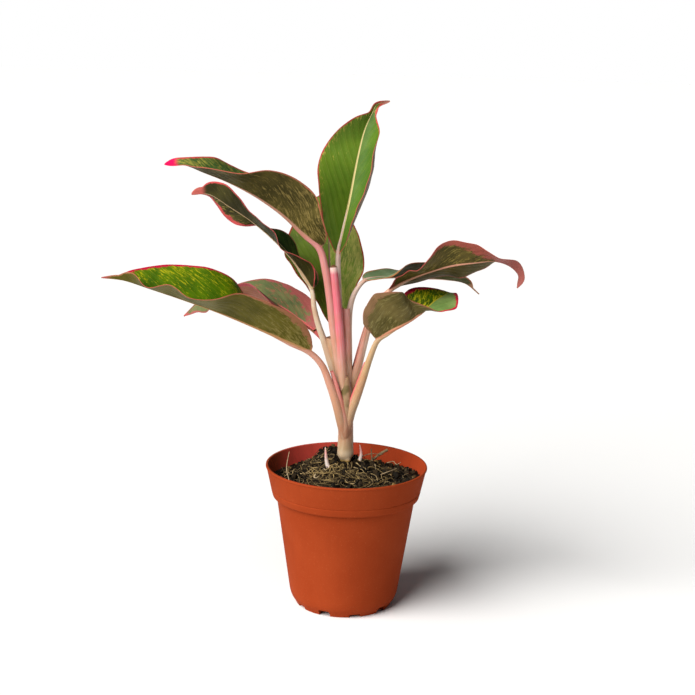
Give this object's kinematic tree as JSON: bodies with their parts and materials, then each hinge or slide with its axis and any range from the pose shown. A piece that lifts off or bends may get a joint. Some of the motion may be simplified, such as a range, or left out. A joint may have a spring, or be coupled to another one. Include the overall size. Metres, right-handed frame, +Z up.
{
  "type": "potted chinese evergreen",
  "caption": "Potted Chinese evergreen: broad mottled leaves with pink margins on clasping stalks round a short cane, in a tapered plastic nursery pot of soil.",
  "frame": {"origin": "centre of the pot's base, on the surface that it stands on", "axes": "+Z up along the pot's axis; -Y is the side that the plant is looked at from; +X is to that viewer's right"},
  "size_m": [0.2631, 0.1231, 0.3268],
  "materials": {
    "pot": "moulded terracotta-coloured plastic",
    "soil": "moist peat and bark",
    "cane": "smooth, ringed",
    "stalk": "satin, fleshy",
    "blade": "waxy leaf, mottled, with pink margins",
    "shoot": "satin, fleshy",
    "twig": "dry"
  },
  "bodies": {
    "root": {"pot": "pot", "cane": "cane", "leaf_lower_left_stalk": "stalk", "leaf_lower_left_blade": "blade", "leaf_lower_right_stalk": "stalk", "leaf_lower_right_blade": "blade", "leaf_upper_left_stalk": "stalk", "leaf_upper_left_blade": "blade", "leaf_upper_right_stalk": "stalk", "leaf_upper_right_blade": "blade", "leaf_mid_right_stalk": "stalk", "leaf_mid_right_blade": "blade", "leaf_mid_left_stalk": "stalk", "leaf_mid_left_blade": "blade", "leaf_top_stalk": "stalk", "leaf_top_blade": "blade", "leaf_low_back_left_stalk": "stalk", "leaf_low_back_left_blade": "blade", "leaf_back_stalk": "stalk", "leaf_back_blade": "blade", "shoot_left": "shoot", "shoot_right": "shoot", "twig_upright": "twig", "twig_thick": "twig", "soil": "soil"}
  },
  "joints": []
}
